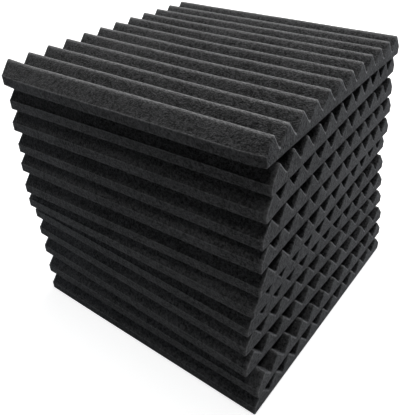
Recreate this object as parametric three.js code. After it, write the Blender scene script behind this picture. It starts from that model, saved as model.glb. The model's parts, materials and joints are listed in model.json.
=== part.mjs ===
// A pack of twelve wedge-profile acoustic foam panels, lying loose on one another as a square stack.
// Millimetres, +Z up. The ridges run along X and the wedge profile lies in the YZ plane.
// The origin is the centre of the lowest panel's flat back, which is the face the stack rests on.
import * as THREE from 'three';

// Driving dimensions of one panel
const panelCount = 12;
const ridgeCount = 12;
const ridgePitch = 25.4;      // crest to crest, so twelve ridges make a foot of width
const ridgeLength = 304.8;    // along the ridges
const panelThickness = 24.2;  // flat back to crest
const baseThickness = 10.5;   // flat back to the bottom of the grooves
const crestRadius = 0.9;      // soft foam keeps no knife edge along a ridge
const grooveRadius = 0.7;
const arcDivisions = 2;       // a crest, and each half of a groove, gets twice as many straight steps

// How the panels lie on one another
const restGap = 0.3;          // air between a row of crests and the flat back on them

// Where each panel has come to lie, lowest first. The shifts along and across the ridges are shares
// of the ridge pitch, and the turns about the vertical are in degrees.
const shiftAlongShares = [0, -0.055, -0.24, -0.38, -0.46, -0.38, -0.38, -0.35, -0.375, -0.415, -0.46, -0.45];
const shiftAcrossShares = [0, 0.08, 0.125, 0.195, 0.255, 0.11, 0.16, 0.165, 0.285, 0.31, 0.48, 0.305];
const turnDegrees = [-1.1, -0.8, -2.4, -2.3, -2.1, -0.3, 1.5, 0.8, 1.2, 1.5, 2.6, 1.2];

// Sizes worked out from the ones above
const panelWidth = ridgeCount * ridgePitch;
const ridgeHeight = panelThickness - baseThickness;
const layerHeight = panelThickness + restGap;

// The angle of a flank above the horizontal. A flank is the straight line that touches the round of
// a crest on one side and the round of the next groove on the other.
function flankAngle() {
  const run = ridgePitch / 2;
  const rise = ridgeHeight - crestRadius - grooveRadius;
  const centresApart = Math.hypot(run, rise);
  return Math.atan2(rise, run) + Math.asin((crestRadius + grooveRadius) / centresApart);
}

// The cut through a panel across its ridges: a flat back, an upright edge at each side, and the row
// of wedges. The sheet was cut to size along its grooves, so each edge meets half a groove.
function wedgeProfile() {
  const flank = flankAngle();
  const up = Math.PI / 2;
  const down = -Math.PI / 2;
  const crestCentre = panelThickness - crestRadius;
  const grooveCentre = baseThickness + grooveRadius;
  const firstCrest = (panelWidth - ridgePitch) / 2;
  const profile = new THREE.Shape();
  profile.moveTo(-panelWidth / 2, 0);
  profile.lineTo(panelWidth / 2, 0);
  for (let ridge = 0; ridge < ridgeCount; ridge += 1) {
    const crestY = firstCrest - ridge * ridgePitch;
    const grooveBefore = crestY + ridgePitch / 2;
    const grooveAfter = crestY - ridgePitch / 2;
    profile.absarc(grooveBefore, grooveCentre, grooveRadius, down, down - flank, true);
    profile.absarc(crestY, crestCentre, crestRadius, up - flank, up + flank, false);
    profile.absarc(grooveAfter, grooveCentre, grooveRadius, down + flank, down, true);
  }
  profile.closePath();
  return profile;
}

// One panel, with its flat back at height zero and its middle over the origin
function panelGeometry(profile) {
  const options = { depth: ridgeLength, bevelEnabled: false, curveSegments: arcDivisions };
  const geometry = new THREE.ExtrudeGeometry(profile, options);
  geometry.translate(0, 0, -ridgeLength / 2);
  geometry.rotateX(Math.PI / 2);
  geometry.rotateZ(Math.PI / 2);
  return geometry;
}

function foamMaterial() {
  return new THREE.MeshStandardMaterial({ color: '#3d3e41', roughness: 1, metalness: 0 });
}

const stack = new THREE.Group();
const profile = wedgeProfile();
for (let layer = 0; layer < panelCount; layer += 1) {
  const panel = new THREE.Mesh(panelGeometry(profile), foamMaterial());
  panel.name = `panel_${String(layer + 1).padStart(2, '0')}`;
  panel.position.x = shiftAlongShares[layer] * ridgePitch;
  panel.position.y = shiftAcrossShares[layer] * ridgePitch;
  panel.position.z = layer * layerHeight;
  panel.rotation.z = THREE.MathUtils.degToRad(turnDegrees[layer]);
  stack.add(panel);
}

export default stack;
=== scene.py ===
"""A square stack of twelve loose foam panels with wedge ridges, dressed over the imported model.

Lengths are in metres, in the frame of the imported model, apart from the tables that say millimetres.
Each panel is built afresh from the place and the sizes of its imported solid, as soft foam with rounded
edges and a little waviness."""

import json
import math

import bpy
import numpy as np
from mathutils import Matrix, Vector


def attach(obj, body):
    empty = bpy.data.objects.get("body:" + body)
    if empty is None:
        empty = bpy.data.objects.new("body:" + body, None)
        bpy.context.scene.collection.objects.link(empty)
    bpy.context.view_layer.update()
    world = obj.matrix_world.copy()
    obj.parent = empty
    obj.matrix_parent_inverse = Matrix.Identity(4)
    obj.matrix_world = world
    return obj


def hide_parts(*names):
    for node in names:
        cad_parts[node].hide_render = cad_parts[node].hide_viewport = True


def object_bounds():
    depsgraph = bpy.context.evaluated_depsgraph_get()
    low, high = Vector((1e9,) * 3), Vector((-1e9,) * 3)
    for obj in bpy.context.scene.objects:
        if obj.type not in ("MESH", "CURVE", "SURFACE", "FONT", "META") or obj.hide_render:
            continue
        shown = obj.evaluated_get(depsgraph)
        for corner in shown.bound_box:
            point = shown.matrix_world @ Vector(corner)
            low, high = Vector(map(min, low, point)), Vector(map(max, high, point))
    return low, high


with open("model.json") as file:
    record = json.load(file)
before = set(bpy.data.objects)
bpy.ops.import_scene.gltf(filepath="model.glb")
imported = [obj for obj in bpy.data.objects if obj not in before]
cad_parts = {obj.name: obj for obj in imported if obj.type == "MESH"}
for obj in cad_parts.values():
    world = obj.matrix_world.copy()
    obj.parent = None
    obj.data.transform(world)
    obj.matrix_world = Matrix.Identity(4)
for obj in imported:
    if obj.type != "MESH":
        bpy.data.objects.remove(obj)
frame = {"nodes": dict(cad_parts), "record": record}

MM = 0.001
CAD_BOX = [list(corner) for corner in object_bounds()]
ON_FACE = 0.1 * MM           # a packed point this near a face counts as on it

# The picture that the camera is set up for, in pixels
PICTURE_WIDE = 400
PICTURE_HIGH = 415

# The camera: where it stands, which way it looks, and where the lens axis meets the picture
CAMERA_PLACE = Vector((311.94, -423.18, 471.80)) * MM
CAMERA_AZIMUTH = 35.49       # degrees, 0 looks along +Y and 90 along -X
CAMERA_ELEVATION = 30.41
CAMERA_ROLL = -1.02
FOCAL_PIXELS = 525.5
AXIS_PIXELS = (226.25, 159.5)
SENSOR_WIDE = 36.0           # millimetres
CLIP_RANGE = (0.01, 50)      # metres from the camera

# The panel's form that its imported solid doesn't give
RIDGES = 12
CREST_RADIUS = 1.5 * MM
GROOVE_RADIUS = 1.4 * MM
END_RADIUS = 1.5 * MM        # round of the edges of both ends
SIDE_BEVEL = 0.4 * MM        # bevel of the upright edges, at the flat back and at the outer grooves
KINK_INSET = 0.15 * MM       # how far the top of that bevel stands in from the upright edge
BEVEL_LEAN = 0.3             # how far the outward way of an upright edge leans over at its bevels
CREST_STEPS = 4              # straight steps over the round of a crest
GROOVE_STEPS = 2             # in each half of a groove
END_STEPS = 3                # over the round of an end's edges
STATION_STEP = 6.0 * MM      # between the cuts along a ridge
FLANK_FOOT = 0.12            # share of a flank between the groove's round and the first row of points

# How each panel lies on the one below, lowest first, in millimetres. A tip is how far one edge stands
# above the middle, a bow is how far both edges do, and a lift is how far the whole panel does.
TIP_ALONG = (1.5, -0.2, 0.4, 0.6, 0.2, 0.6, 0.2, 0.7, -0.1, -0.1, -1.5, -0.7)
TIP_ACROSS = (-0.3, -0.9, 0.5, -0.6, -0.7, -0.4, 1.1, -0.9, 0.7, -0.8, 0.4, -0.8)
BOW_ALONG = (-0.4, -0.4, -0.1, -0.5, -0.6, -0.5, -0.5, -0.1, -0.2, -0.6, -0.4, 0.4)
BOW_ACROSS = (-0.1, 0.0, -1.1, 0.1, 0.6, -0.1, -1.5, -1.3, -1.8, -0.5, -0.9, -0.4)
LIFT = (0.0, 0.5, 1.5, 1.0, -0.1, 0.1, 0.7, 0.6, 0.5, -0.3, 0.1, 0.0)
SLIDE = (0.2, 0.1, 0.0, -0.3, -0.7, -0.6, -0.1, 0.0, -0.1, -0.4, 0.0, 0.0)  # along the ridges
PRESSED_GAP = 0.15 * MM      # left between a pressed crest and the flat back on it

# How far the near right corner of each panel is moved along the ridges, across them and up, in
# millimetres. Over the ridges, the moves along and up reach further on some panels.
CORNER_ALONG = (0.0, 2.4, 0.0, 1.0, 3.2, 2.0, 0.0, 1.5, 0.0, 1.8, 0.0, 0.0)
CORNER_ACROSS = (0.1, -0.4, -0.3, 0.5, 1.4, 1.0, -0.3, 0.7, -0.2, 0.8, -0.1, 0.0)
CORNER_UP = (0.0, 0.0, 0.0, -1.2, -2.5, -1.0, 0.0, 0.0, 0.0, 0.0, 0.0, 0.0)
RIDGE_REACH = (26, 26, 26, 80, 80, 36, 26, 26, 26, 26, 26, 26)  # of the moves along and up
ACROSS_REACH = 18 * MM       # of the move across, over the ridges
CORNER_REACH = 26 * MM       # of every move, along the ridges

# How the open top panel is pulled out of shape, in millimetres. The rows stand at its left end, its
# middle and its right end, and the columns at these shares of its half width from near to far.
PULL_ROWS = (-1, 0, 1)
PULL_COLUMNS = (-1, -0.6, -0.2, 0.3, 1)
PULL_ALONG = ((0.2, 0.2, 0.6, 0.9, 1.6), (0.7, 0.5, 0.5, 0.7, 1.0), (1.4, 0.7, 0.4, 0.6, 0.6))
PULL_ACROSS = ((-0.3, -0.4, 0.1, 0.3, 0.7), (0.8, -0.6, -0.6, -0.3, 0.1), (1.1, -1.0, -1.1, -0.9, -0.7))
PULL_UP = ((-0.6, 0.2, 1.0, 1.0, -0.7), (-0.1, -0.3, 0.0, 0.8, 0.6), (0.0, -0.7, 0.3, 1.4, 0.7))
# Its corners: the place in shares of the half length, half width and thickness, the reach of the pull
# and the pull itself
CORNER_PULLS = (
    ((-1, -1, 1.0), 18, (-1.5, 1.4, 0.8)),
    ((-1, -1, 0.0), 14, (1.4, 0.2, 1.0)),
    ((1, -0.83, 0.45), 12, (0.0, -2.5, -0.5)),
    ((1, -1, 0.45), 10, (-0.8, 0.6, 0.6)),
    ((1, -1, 0.0), 12, (0.6, 1.5, 0.0)),
)

# Softness
WAVE_SEED = 41
SEED_STEP = 10               # from one panel's seed to the next
WAVE_LENGTHS = (160 * MM, 90 * MM, 50 * MM, 26 * MM, 15 * MM)
WAVE_SHARES = (0.36, 0.24, 0.18, 0.13, 0.09)
DIP = 0.4 * MM               # how far the crests dip
SWAY = 0.5 * MM              # how far the ridges wander to a side

# The paler edges, a painted highlight where the light catches the foam's edges. The fades are in rim
# widths, and the rim values are shares of the full highlight.
RIM_WIDTH = 1.8 * MM         # how far the painted highlight of an edge reaches onto its faces
FLANK_FADE = 3               # from a crest down its flanks until the painted highlight has gone
KINK_FADE = 0.6              # the same from an outer groove down the upright edge
CAP_FADE = 1.4               # the same from the ridges down the face of an end
CAP_EDGE = 0.5 * MM          # a point of an end's outline this near its sides counts as on them
# the crests take the full painted highlight, as the light catches them most
CREST_RIM = 1.0
THIN_RIM = 0.15              # one rim width from the crest
KINK_RIM = 0.5               # painted highlight where an outer groove meets the upright edge, whose top catches the light
FAR_END_RIM = 1.0            # painted highlight where a ridge's far flank meets an end, which the light from behind catches
NEAR_END_RIM = 0.1           # where its near flank does, turned away from that light
ROUND_RIM = 0.3              # where the round of an end meets the long faces
LAYER_HIGHLIGHTS = (0.35,) * 10 + (0.6, 1.0)  # each panel's share of the painted highlight, lowest first: the most where it lies open to the light, less where the panel above shades it
CORNER_RIMS = (0.55,) * 11 + (0.12,)    # the same at the corners
HIGHLIGHT_POWER = 0.85            # below 1 the painted highlight keeps its tone further from the edge
RAGGED_SPAN = (0.55, 1.0)    # the least and the most of the painted highlight that the clumps let show

# The foam's tone and surface
FOAM_DARK = (0.010, 0.0102, 0.0106, 1)
FOAM_PALE = (0.104, 0.1045, 0.107, 1)
# the pale tone of the painted highlight on the edges
FOAM_RIM_HIGHLIGHT = (0.34, 0.34, 0.343, 1)
CELL = 1.3 * MM              # one open cell of the foam
GRAIN = 1.2 * MM             # uneven cells
CLUMP = 2.6 * MM             # a patch of wider or tighter cells
CLOUD = 6.0 * MM             # paler and darker clouds of clumps
PATCH = 70 * MM              # slow changes of tone over a panel
FINE_NOISE = (1.0, 0.6)      # detail and roughness of the grain and the clumps
BROAD_NOISE = (2.0, 0.5)     # the same of the clouds and the patches
CELL_TONE, GRAIN_TONE, CLUMP_TONE, CLOUD_TONE = 0.25, 0.2, 0.45, 0.2  # each one's part in the tone
PATCH_TONE = 0.1
CELL_SPAN = (0.1, 0.75)      # the distances in a cell that give no tone and the full one
NOISE_SPAN = (0.35, 0.65)    # the same for the values of the noises
WIDE_SPAN = (0.3, 0.7)       # a wider span, for softer changes
TONE_SPAN = (0.2, 0.9)       # the sums of tone that give the darkest foam and the palest
CELL_HEIGHT, GRAIN_HEIGHT, CLUMP_HEIGHT = 0.6, 0.5, 0.9  # each one's part in the bumps
BUMP_DEPTH = 1.2 * MM
ROUGH_SPAN = (0.86, 1.0)
SHINE = 0.05
SHEEN = 0.13
SHEEN_ROUGHNESS = 0.6

# The lamps: name, where it stands, what it shines on, how wide it is, watts and tint
LAMPS = (
    ("top_light", (0.0, 0.2, 1.7), (0, 0, 0.25), 1.2, 18, (1, 1, 1)),
    ("back_light", (0.0, 1.3, 1.1), (0, 0, 0.25), 1.2, 10, (1, 1, 1)),
    ("right_light", (0.9, 0.6, 0.3), (0.15, 0.1, 0.15), 0.4, 2.7, (0.93, 0.98, 1.07)),
    ("left_light", (-0.65, -0.30, 0.10), (-0.1, -0.15, 0.13), 0.3, 0.62, (0.85, 0.95, 1.1)),
)

# The floor and the white round the stack
WHITE = (1, 1, 1, 1)
FLOOR_COLOUR = (0.8, 0.8, 0.8, 1)
FLOOR_GLOW = 0.8             # how much white the camera sees added to the floor at the stack
SHADOW_REACH = (0.7, 2.0)    # between these distances from the stack the added white grows to 1
FLOOR_HALF = 6.0             # from the floor's middle to its sides


def panel_facts(node):
    """Centre of the flat back, directions, half sizes and heights of a packed panel."""
    points = np.array([v.co for v in node.data.vertices])
    low, high = points[:, 2].min(), points[:, 2].max()
    back = points[points[:, 2] < low + ON_FACE][:, :2]
    corners = [back[np.argmax(back @ way)] for way in ((1, 1), (1, -1), (-1, 1), (-1, -1))]
    far_right, near_right, far_left, _ = corners
    centre = sum(corners) / 4
    edge = far_right - near_right
    turn = math.atan2(-edge[0], edge[1])
    along = np.array((math.cos(turn), math.sin(turn)))
    across = np.array((-math.sin(turn), math.cos(turn)))
    half_wide = np.linalg.norm(edge) / 2
    on_edge = np.abs((points[:, :2] - centre) @ across + half_wide) < ON_FACE
    return {
        "centre": np.append(centre, low),
        "along": along,
        "across": across,
        "half_long": np.linalg.norm(far_right - far_left) / 2,
        "half_wide": half_wide,
        "thick": high - low,
        "base": points[on_edge][:, 2].max() - low,
    }


def layer_facts(number):
    """How one panel lies and how much painted edge highlight it gets, from the tables. Number 0 is the
    lowest.
    """
    return {
        "tips": np.array((TIP_ALONG[number], TIP_ACROSS[number])) * MM,
        "bows": np.array((BOW_ALONG[number], BOW_ACROSS[number])) * MM,
        "lift": LIFT[number] * MM,
        "slide": SLIDE[number] * MM,
        "corner": np.array((CORNER_ALONG[number], CORNER_ACROSS[number], CORNER_UP[number])) * MM,
        "ridge_reach": RIDGE_REACH[number] * MM,
        "rim_highlights": LAYER_HIGHLIGHTS[number],
        "corner_rim": CORNER_RIMS[number] / LAYER_HIGHLIGHTS[number],
        "open": number == len(LAYER_HIGHLIGHTS) - 1,
    }


def arc(centre, radius, start, end, steps, outward):
    """Points of an arc with their outward ways. outward is 1 on a crest and -1 in a groove."""
    made = []
    for step in range(steps + 1):
        angle = start + (end - start) * step / steps
        way = np.array((math.cos(angle), math.sin(angle)))
        made.append((np.array(centre) + radius * way, way * outward))
    return made


def flank(start, end, rising):
    """Points on the straight flank between two arcs, as (point, outward way, rim).

    One stands near the groove, one where the painted highlight of the crest ends and one where it thins
    out."""
    a, b = start[0], end[0]
    way = end[1] if rising else start[1]
    rim = RIM_WIDTH / np.linalg.norm(b - a)
    if rising:
        rows = ((FLANK_FOOT, 0.0), (1 - FLANK_FADE * rim, 0.0), (1 - rim, THIN_RIM))
    else:
        rows = ((rim, THIN_RIM), (FLANK_FADE * rim, 0.0), (1 - FLANK_FOOT, 0.0))
    return [(a + (b - a) * share, way, value) for share, value in rows]


def ridge_cut(facts, ridge):
    """One ridge from the groove before it to the groove after it, as (point, outward way, rim, rim where
    the ridge ends)."""
    pitch = 2 * facts["half_wide"] / RIDGES
    run = pitch / 2
    rise = facts["thick"] - facts["base"] - CREST_RADIUS - GROOVE_RADIUS
    rounds = CREST_RADIUS + GROOVE_RADIUS
    slope = math.atan2(rise, run) + math.asin(rounds / math.hypot(run, rise))
    up, down = math.pi / 2, -math.pi / 2
    crest_y = (ridge + 0.5) * pitch - facts["half_wide"]
    crest_z = facts["thick"] - CREST_RADIUS
    groove_z = facts["base"] + GROOVE_RADIUS
    before = arc((crest_y - run, groove_z), GROOVE_RADIUS, down, down + slope, GROOVE_STEPS, -1)
    crest = arc((crest_y, crest_z), CREST_RADIUS, up + slope, up - slope, CREST_STEPS, 1)
    after = arc((crest_y + run, groove_z), GROOVE_RADIUS, down - slope, down, GROOVE_STEPS, -1)
    near_flank = flank(before[-1], crest[0], rising=True)
    far_flank = flank(crest[-1], after[0], rising=False)
    near_rim = NEAR_END_RIM if ridge else facts["corner_rim"]
    made = [(*row, 0.0, near_rim) for row in before] + [(*row, near_rim) for row in near_flank]
    made += [(*row, CREST_RIM, CREST_RIM) for row in crest] + [(*row, FAR_END_RIM) for row in far_flank]
    return made + [(*row, 0.0, FAR_END_RIM) for row in after]


def edge_cut(facts, side):
    """The upright edge on one side from the top down, as ridge_cut gives its rows."""
    wide, base = facts["half_wide"], facts["base"]
    rows = (
        (wide - KINK_INSET, base, 1.0, KINK_RIM),
        (wide, base - SIDE_BEVEL, BEVEL_LEAN, KINK_RIM),
        (wide, base - SIDE_BEVEL - KINK_FADE * RIM_WIDTH, 0.0, 0.0),
        (wide, SIDE_BEVEL + RIM_WIDTH, 0.0, 0.0),
        (wide, SIDE_BEVEL, -BEVEL_LEAN, 0.0),
        (wide - SIDE_BEVEL, 0.0, -1.0, 0.0),
    )
    return [
        (np.array((y * side, z)), np.array((side, lean)), rim, facts["corner_rim"])
        for y, z, lean, rim in rows
    ]


def closed_cut(facts):
    """The whole cut through a panel as one closed line, and the houses that fill it.

    The line runs over the ridges from near to far, down the far edge, back along the flat back and
    up the near edge. A house is one ridge with the foam under it, as places on the line."""
    near, far = edge_cut(facts, -1), edge_cut(facts, 1)
    line = [near[0]]
    grooves = [0]
    for ridge in range(RIDGES):
        cut = ridge_cut(facts, ridge)[1:]
        line += cut if ridge < RIDGES - 1 else cut[:-1] + far[:1]
        grooves.append(len(line) - 1)
    line += far[1:]
    seams = {RIDGES: len(line) - 1}
    for ridge in range(RIDGES - 1, 0, -1):
        seams[ridge] = len(line)
        y = (2 * ridge / RIDGES - 1) * facts["half_wide"]
        line.append((np.array((y, 0.0)), np.array((0.0, -1.0)), 0.0, 0.0))
    seams[0] = len(line)
    line += near[:0:-1]
    houses = []
    for ridge in range(RIDGES):
        last = seams[RIDGES] - 1 if ridge == RIDGES - 1 else grooves[ridge + 1]
        house = list(range(grooves[ridge], last + 1)) + [seams[ridge + 1], seams[ridge]]
        if ridge == 0:
            house += range(seams[0] + 1, len(line))
        houses.append(house)
    return line, houses


def stations(facts):
    """Places along the ridges as (x, inward offset, rim), with a round at both ends."""
    half = facts["half_long"]
    start = []
    for step in range(END_STEPS + 1):
        angle = math.pi / 2 * step / END_STEPS
        x, inward = -half + END_RADIUS * (1 - math.cos(angle)), END_RADIUS * (1 - math.sin(angle))
        start.append((x, inward, 1 - (1 - ROUND_RIM) * step / END_STEPS))
    start.append((-half + END_RADIUS + RIM_WIDTH, 0.0, 0.0))
    first = start[-1][0]
    count = round(-2 * first / STATION_STEP)
    middle = [(x, 0.0, 0.0) for x in np.linspace(first, -first, count + 1)[1:-1]]
    return start + middle + [(-x, inward, rim) for x, inward, rim in reversed(start)]


def inset(facts, point):
    """How a point of an end's outline moves to lie inside it, where the painted highlight of the edge
    ends.
    """
    y, z = point
    up = 0.0
    if z > facts["base"] - CAP_EDGE:
        up = -CAP_FADE * RIM_WIDTH
    elif z < CAP_EDGE:
        up = RIM_WIDTH
    side = -np.sign(y) * RIM_WIDTH if facts["half_wide"] - abs(y) < CAP_EDGE else 0.0
    return np.array((side, up))


def wave_field(seed):
    """A smooth field over a panel, between about -1 and 1, from seeded sine waves."""
    random = np.random.default_rng(seed)
    angles = random.uniform(0, math.pi, len(WAVE_LENGTHS))
    phases = random.uniform(0, 2 * math.pi, len(WAVE_LENGTHS))

    def field(x, y):
        total = np.zeros_like(x)
        for length, share, angle, phase in zip(WAVE_LENGTHS, WAVE_SHARES, angles, phases):
            way = (x * math.cos(angle) + y * math.sin(angle)) / length
            total += share * np.sin(2 * math.pi * way + phase)
        return total

    return field


def near_corner(facts, x, y, reach):
    """1 at a panel's near right corner, and falling to 0 round it. reach is the one over the ridges."""
    along, across = x - facts["half_long"], y + facts["half_wide"]
    return np.exp(-(along / CORNER_REACH) ** 2 - (across / reach) ** 2)


def lie(facts, x, y):
    """How high a panel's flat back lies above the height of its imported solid, tipped and bowed. The
    third keeps its mean height as it is when it bows."""
    along, across = x / facts["half_long"], y / facts["half_wide"]
    tip = facts["tips"][0] * along + facts["tips"][1] * across
    bow = facts["bows"][0] * (along ** 2 - 1 / 3) + facts["bows"][1] * (across ** 2 - 1 / 3)
    sag = facts["corner"][2] * near_corner(facts, x, y, facts["ridge_reach"])
    return facts["lift"] + tip + bow + sag


def pulls(facts, points):
    """How far the pulls on the top panel move its points."""
    sizes = np.array((facts["half_long"], facts["half_wide"], facts["thick"]))
    along, across, _ = (points / sizes).T
    weights = [np.interp(along, PULL_ROWS, one) for one in np.eye(len(PULL_ROWS))]
    moved = np.zeros_like(points)
    for axis, table in enumerate((PULL_ALONG, PULL_ACROSS, PULL_UP)):
        rows = [np.interp(across, PULL_COLUMNS, row) for row in table]
        moved[:, axis] = sum(weight * row for weight, row in zip(weights, rows)) * MM
    for where, reach, pulled in CORNER_PULLS:
        apart = np.linalg.norm(points - sizes * where, axis=1) / (reach * MM)
        moved += np.exp(-apart ** 2)[:, None] * np.array(pulled) * MM
    return moved


def into_frame(facts, local):
    """Points of a panel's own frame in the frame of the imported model."""
    placed = np.empty_like(local)
    placed[:, :2] = facts["centre"][:2] + local[:, :1] * facts["along"] + local[:, 1:2] * facts["across"]
    placed[:, 2] = facts["centre"][2] + local[:, 2]
    return placed


def back_height(facts, points):
    """The height of a panel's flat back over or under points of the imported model's frame."""
    away = points[:, :2] - facts["centre"][:2]
    x, y = away @ facts["along"], away @ facts["across"]
    height = facts["centre"][2] + lie(facts, x, y)
    if facts["open"]:
        height += pulls(facts, np.column_stack([x, y, np.zeros_like(x)]))[:, 2]
    return height


def soften(points, facts, above, seed):
    """Moves a panel's points as soft foam lies: crests dip a little, ridges wander, the panel tips and
    bows, its near right corner gives way, and the top panel is pulled. What would reach into the panel
    above or the floor is pressed flat."""
    x, y, z = points.T
    height = np.clip(z / facts["thick"], 0, 1)
    ridge_share = np.clip((z - facts["base"]) / (facts["thick"] - facts["base"]), 0, 1)
    up_field, side_field = wave_field(seed), wave_field(seed + 1)
    moved = points.copy()
    moved[:, 2] -= DIP * (0.5 + 0.5 * up_field(x, y)) * height
    moved[:, 1] += SWAY * side_field(x, y) * ridge_share
    moved[:, 2] += lie(facts, x, y)
    moved[:, 0] += facts["slide"] + facts["corner"][0] * near_corner(facts, x, y, facts["ridge_reach"])
    moved[:, 1] += facts["corner"][1] * near_corner(facts, x, y, ACROSS_REACH)
    if facts["open"]:
        moved += pulls(facts, points)
    placed = into_frame(facts, moved)
    if above:
        placed[:, 2] = np.minimum(placed[:, 2], back_height(above, placed) - PRESSED_GAP)
    placed[:, 2] = np.maximum(placed[:, 2], CAD_BOX[0][2])
    return placed


def panel_mesh(name, facts, above, seed):
    """The closed mesh of one panel, in place, with a rim value on its points: its share of the painted
    edge highlight.
    """
    line, houses = closed_cut(facts)
    at, way, line_rim, end_rim = (np.array(column) for column in zip(*line))
    inside = at + np.array([inset(facts, point) for point in at])
    ring = len(line)
    steps = [(j, (j + 1) % ring) for j in range(ring)]
    points, rim_highlights, faces = [], [], []
    cuts = stations(facts)
    for x, inward, rim in cuts:
        points.append(np.column_stack([np.full(ring, x), at - way * inward]))
        rim_highlights.append(np.maximum(line_rim, rim * end_rim))
    for cut in range(len(cuts) - 1):
        here, there = cut * ring, (cut + 1) * ring
        faces += [(here + j, there + j, there + k, here + k) for j, k in steps]
    for x, outline in ((cuts[0][0], 0), (cuts[-1][0], (len(cuts) - 1) * ring)):
        first = sum(len(p) for p in points)
        points.append(np.column_stack([np.full(ring, x), inside]))
        rim_highlights.append(np.zeros(ring))
        cap = [(outline + j, outline + k, first + k, first + j) for j, k in steps]
        cap += [tuple(first + j for j in house) for house in houses]
        faces += cap if x < 0 else [face[::-1] for face in cap]
    placed = soften(np.concatenate(points), facts, above, seed)
    mesh = bpy.data.meshes.new(name)
    mesh.from_pydata(placed.tolist(), [], faces)
    rim_values = np.concatenate(rim_highlights) * facts["rim_highlights"]
    mesh.attributes.new("rim", "FLOAT", "POINT").data.foreach_set("value", rim_values)
    mesh.polygons.foreach_set("use_smooth", [True] * len(mesh.polygons))
    mesh.update()
    return mesh


def add(tree, kind, settings=None, inputs=None):
    """A node with its settings and inputs. A socket as an input is linked, and a value is set."""
    made = tree.nodes.new(kind)
    for key, value in (settings or {}).items():
        setattr(made, key, value)
    for key, value in (inputs or {}).items():
        if isinstance(value, bpy.types.NodeSocket):
            tree.links.new(value, made.inputs[key])
        else:
            made.inputs[key].default_value = value
    return made


def empty_tree(block):
    """The node tree of a new material or world, with nothing in it."""
    block.use_nodes = True
    block.node_tree.nodes.clear()
    return block.node_tree


def maths(tree, operation, a, b=0.0, c=0.0):
    return add(tree, "ShaderNodeMath", {"operation": operation}, {0: a, 1: b, 2: c}).outputs[0]


def spread(tree, value, low, high, to_low, to_high):
    """value taken from low..high to to_low..to_high, and held there."""
    inputs = {"Value": value, "From Min": low, "From Max": high, "To Min": to_low, "To Max": to_high}
    return add(tree, "ShaderNodeMapRange", {"clamp": True}, inputs).outputs["Result"]


def blend_colours(tree, share, a, b):
    """Colour a where share is 0 and colour b where it is 1."""
    inputs = {0: share, 6: a, 7: b}  # the mix node's sockets for a colour have no names of their own
    return add(tree, "ShaderNodeMix", {"data_type": "RGBA"}, inputs).outputs[2]


def noise(tree, spot, size, detail, roughness):
    inputs = {"Vector": spot, "Scale": 1 / size, "Detail": detail, "Roughness": roughness}
    return add(tree, "ShaderNodeTexNoise", None, inputs).outputs["Fac"]


def foam_material():
    """Charcoal open-cell foam: dark cells, paler struts, tight and wide patches, and a painted highlight
    where the light catches the edges.
    """
    material = bpy.data.materials.new("charcoal_foam")
    tree = empty_tree(material)
    spot = add(tree, "ShaderNodeTexCoord").outputs["Object"]
    cell = add(tree, "ShaderNodeTexVoronoi", {"feature": "F1"}, {"Vector": spot, "Scale": 1 / CELL})
    cell = cell.outputs["Distance"]
    grain = noise(tree, spot, GRAIN, *FINE_NOISE)
    clump = noise(tree, spot, CLUMP, *FINE_NOISE)
    cloud = noise(tree, spot, CLOUD, *BROAD_NOISE)
    patch = noise(tree, spot, PATCH, *BROAD_NOISE)
    tone = maths(tree, "MULTIPLY", spread(tree, cell, *CELL_SPAN, 0.0, 1.0), CELL_TONE)
    for field, part in ((grain, GRAIN_TONE), (clump, CLUMP_TONE), (cloud, CLOUD_TONE)):
        tone = maths(tree, "MULTIPLY_ADD", spread(tree, field, *NOISE_SPAN, 0.0, 1.0), part, tone)
    tone = maths(tree, "ADD", spread(tree, patch, *WIDE_SPAN, -PATCH_TONE, PATCH_TONE), tone)
    tone = spread(tree, tone, *TONE_SPAN, 0.0, 1.0)
    body = blend_colours(tree, tone, FOAM_DARK, FOAM_PALE)
    # The rim value blends in a painted highlight along the edges, in place of the light that catches
    # them.
    rim = add(tree, "ShaderNodeAttribute", {"attribute_name": "rim"}).outputs["Fac"]
    rim_highlight = maths(tree, "POWER", rim, HIGHLIGHT_POWER)
    ragged_highlight = maths(tree, "MULTIPLY", rim_highlight, spread(tree, clump, *WIDE_SPAN, *RAGGED_SPAN))
    colour = blend_colours(tree, ragged_highlight, body, FOAM_RIM_HIGHLIGHT)
    height = maths(tree, "MULTIPLY", cell, CELL_HEIGHT)
    height = maths(tree, "MULTIPLY_ADD", clump, CLUMP_HEIGHT, height)
    height = maths(tree, "MULTIPLY_ADD", grain, GRAIN_HEIGHT, height)
    bump = add(tree, "ShaderNodeBump", None, {"Strength": 1.0, "Distance": BUMP_DEPTH, "Height": height})
    foam = add(tree, "ShaderNodeBsdfPrincipled", None, {
        "Base Color": colour,
        "Roughness": spread(tree, clump, *WIDE_SPAN, *ROUGH_SPAN),
        "Normal": bump.outputs["Normal"],
        "Specular IOR Level": SHINE,
        "Sheen Weight": SHEEN,
        "Sheen Roughness": SHEEN_ROUGHNESS,
    })
    add(tree, "ShaderNodeOutputMaterial", None, {"Surface": foam.outputs["BSDF"]})
    return material


def make_panels():
    foam = foam_material()
    bodies = frame["record"]["behaviour"]["bodies"]
    owners = {node: body for body in bodies for node in bodies[body]}
    nodes = sorted(owners)
    layers = [panel_facts(frame["nodes"][node]) | layer_facts(i) for i, node in enumerate(nodes)]
    for number, (node, above) in enumerate(zip(nodes, layers[1:] + [None])):
        name = node.replace("panel", "foam_panel")
        mesh = panel_mesh(name, layers[number], above, WAVE_SEED + SEED_STEP * number)
        piece = bpy.data.objects.new(name, mesh)
        bpy.context.scene.collection.objects.link(piece)
        piece.data.materials.append(foam)
        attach(piece, owners[node])
        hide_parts(node)


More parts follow.
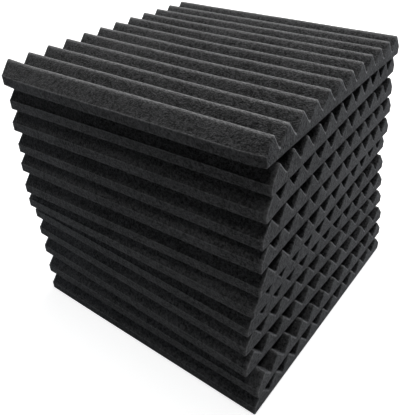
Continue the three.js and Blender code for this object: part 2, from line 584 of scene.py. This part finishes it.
def make_camera():
    azimuth, elevation = math.radians(CAMERA_AZIMUTH), math.radians(CAMERA_ELEVATION)
    flat = math.cos(elevation)
    back = Vector((math.sin(azimuth) * flat, -math.cos(azimuth) * flat, math.sin(elevation)))
    level = Vector((math.cos(azimuth), math.sin(azimuth), 0))
    right = Matrix.Rotation(math.radians(CAMERA_ROLL), 3, back) @ level
    up = back.cross(right)
    data = bpy.data.cameras.new("camera")
    long_side = max(PICTURE_WIDE, PICTURE_HIGH)
    data.sensor_width = SENSOR_WIDE
    data.lens = FOCAL_PIXELS * SENSOR_WIDE / long_side
    data.shift_x = (PICTURE_WIDE / 2 - AXIS_PIXELS[0]) / long_side
    data.shift_y = (AXIS_PIXELS[1] - PICTURE_HIGH / 2) / long_side
    data.clip_start, data.clip_end = CLIP_RANGE
    camera = bpy.data.objects.new("camera", data)
    rows = Matrix((right, up, back)).transposed()
    camera.matrix_world = Matrix.Translation(CAMERA_PLACE) @ rows.to_4x4()
    bpy.context.scene.collection.objects.link(camera)
    bpy.context.scene.camera = camera


def make_lights():
    """The square area lamps of the LAMPS table."""
    for name, stand, target, size, watts, tint in LAMPS:
        data = bpy.data.lights.new(name, "AREA")
        data.size = size
        data.energy = watts
        data.color = tint
        lamp = bpy.data.objects.new(name, data)
        lamp.location = stand
        lamp.rotation_euler = (Vector(target) - Vector(stand)).to_track_quat("-Z", "Y").to_euler()
        bpy.context.scene.collection.objects.link(lamp)


def make_world():
    """White to the camera and in what shines or lets light through, and no light on anything else."""
    world = bpy.data.worlds.new("studio")
    tree = empty_tree(world)
    rays = add(tree, "ShaderNodeLightPath").outputs
    seen = maths(tree, "MAXIMUM", rays["Is Camera Ray"], rays["Is Transmission Ray"])
    seen = maths(tree, "MAXIMUM", seen, rays["Is Glossy Ray"])
    white = add(tree, "ShaderNodeBackground", None, {"Color": WHITE, "Strength": seen})
    add(tree, "ShaderNodeOutputWorld", None, {"Surface": white.outputs[0]})
    bpy.context.scene.world = world


def make_floor():
    """A pale floor. The camera sees it nearly white, with the stack's soft shadow on it."""
    low = CAD_BOX[0][2]
    corners = [(x * FLOOR_HALF, y * FLOOR_HALF, low) for x, y in ((-1, -1), (1, -1), (1, 1), (-1, 1))]
    mesh = bpy.data.meshes.new("floor")
    mesh.from_pydata(corners, [], [(0, 1, 2, 3)])
    material = bpy.data.materials.new("pale_floor")
    tree = empty_tree(material)
    matt = add(tree, "ShaderNodeBsdfDiffuse", None, {"Color": FLOOR_COLOUR}).outputs[0]
    seen = add(tree, "ShaderNodeLightPath").outputs["Is Camera Ray"]
    spot = add(tree, "ShaderNodeTexCoord").outputs["Object"]
    away = add(tree, "ShaderNodeVectorMath", {"operation": "LENGTH"}, {0: spot}).outputs["Value"]
    strength = maths(tree, "MULTIPLY", seen, spread(tree, away, *SHADOW_REACH, FLOOR_GLOW, 1.0))
    glow = add(tree, "ShaderNodeEmission", None, {"Strength": strength}).outputs[0]
    both = add(tree, "ShaderNodeAddShader", None, {0: matt, 1: glow})
    add(tree, "ShaderNodeOutputMaterial", None, {"Surface": both.outputs[0]})
    mesh.materials.append(material)
    floor = bpy.data.objects.new("floor", mesh)
    bpy.context.scene.collection.objects.link(floor)


def write_sizes():
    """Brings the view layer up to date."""
    bpy.context.view_layer.update()


make_camera()
make_panels()
make_lights()
make_world()
make_floor()
bpy.context.scene.view_settings.view_transform = "Standard"
write_sizes()
